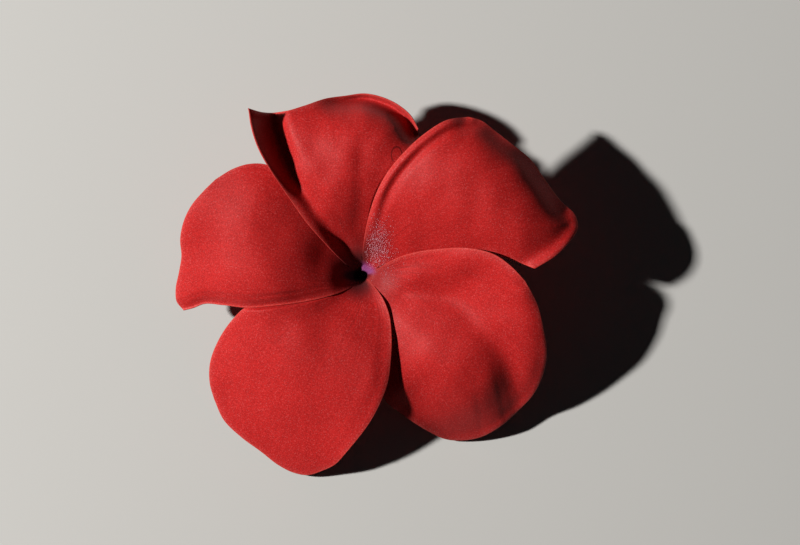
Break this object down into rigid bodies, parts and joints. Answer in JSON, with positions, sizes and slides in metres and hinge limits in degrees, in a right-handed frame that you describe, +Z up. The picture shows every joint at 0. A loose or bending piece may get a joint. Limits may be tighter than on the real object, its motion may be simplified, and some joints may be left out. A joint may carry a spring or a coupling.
{
  "type": "plumeria flower",
  "caption": "Red plumeria bloom lying face up: overlapping pinwheel petals that arch out of a narrow throat, on a slender bent corolla tube.",
  "frame": {"origin": "on the surface that the flower lies on, under the middle of its box", "axes": "+Z up, the way the flower faces; +X to the right and +Y towards the top of the picture"},
  "size_m": [0.0762, 0.0724, 0.0251],
  "materials": {
    "petal": "velvety crimson petal, faintly veined and slightly glossy, paler along the rims and purple in the throat",
    "tube": "smooth waxy dark red, paler towards the cut end"
  },
  "bodies": {
    "root": {"petal_top": "petal", "petal_upper_right": "petal", "petal_lower_right": "petal", "petal_bottom": "petal", "petal_left": "petal", "corolla_tube": "tube"}
  },
  "joints": []
}
